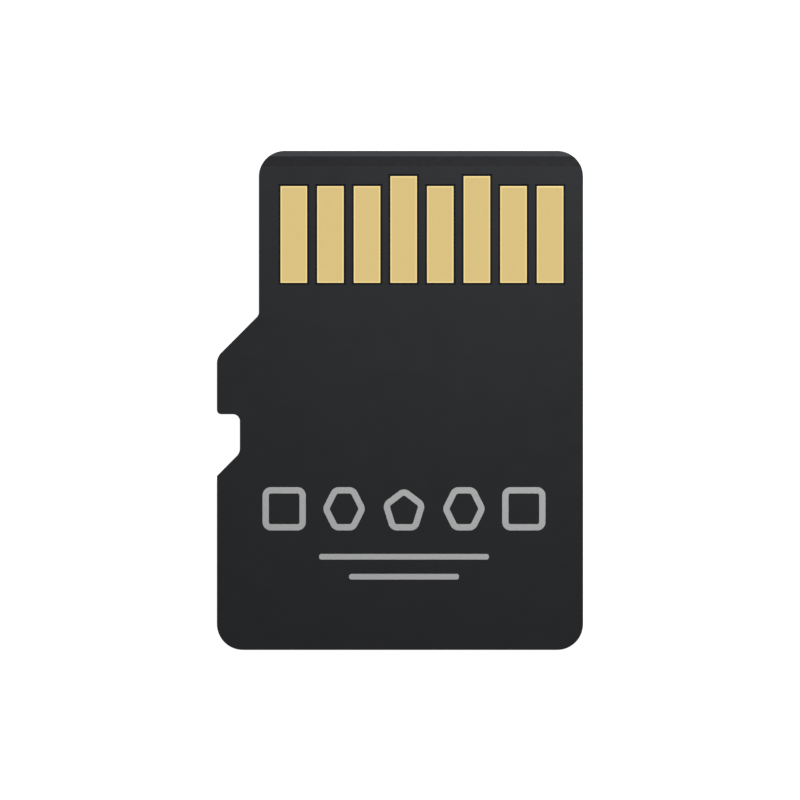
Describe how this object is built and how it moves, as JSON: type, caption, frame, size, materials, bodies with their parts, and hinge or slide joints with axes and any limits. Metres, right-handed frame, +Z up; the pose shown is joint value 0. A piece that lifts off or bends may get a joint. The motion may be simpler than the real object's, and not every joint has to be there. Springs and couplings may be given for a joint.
{
  "type": "microsd card",
  "caption": "Thin removable flash memory card with a keyed side notch, a beveled insertion edge, gold contacts and a raised finger lip under its rear edge.",
  "frame": {"origin": "middle of the card's outline, at the level of the finger lip's lowest face", "axes": "seen from the contact side +X is to the right and +Y points to the insertion edge; +Z points up out of the contact side"},
  "size_m": [0.011, 0.015, 0.001],
  "materials": {
    "mould_compound": "black moulded epoxy, fine matte grain",
    "laminate": "dark glass-cloth laminate, cut edge",
    "solder_mask": "black solder mask, satin",
    "contact_gold": "gold plate over nickel and copper, satin",
    "silicon": "ground silicon, glossy",
    "attach_film": "die attach film, satin",
    "capacitor": "fired ceramic with tinned ends",
    "inner_copper": "gold-flashed copper",
    "bond_wire": "drawn gold wire, bright"
  },
  "bodies": {
    "root": {"moulded_body": "mould_compound", "board": "laminate", "solder_mask": "solder_mask", "contact_1_data2": "contact_gold", "contact_2_data3": "contact_gold", "contact_3_command": "contact_gold", "contact_4_supply": "contact_gold", "contact_5_clock": "contact_gold", "contact_6_ground": "contact_gold", "contact_7_data0": "contact_gold", "contact_8_data1": "contact_gold", "controller_die": "silicon", "controller_attach_film": "attach_film", "flash_die_1": "silicon", "flash_attach_film_1": "attach_film", "flash_die_2": "silicon", "flash_attach_film_2": "attach_film", "flash_die_3": "silicon", "flash_attach_film_3": "attach_film", "flash_die_4": "silicon", "flash_attach_film_4": "attach_film", "capacitor_1": "capacitor", "capacitor_2": "capacitor", "capacitor_3": "capacitor", "capacitor_4": "capacitor", "bond_fingers": "inner_copper", "capacitor_lands": "inner_copper", "controller_bond_wires": "bond_wire", "flash_bond_wires": "bond_wire"}
  },
  "joints": []
}
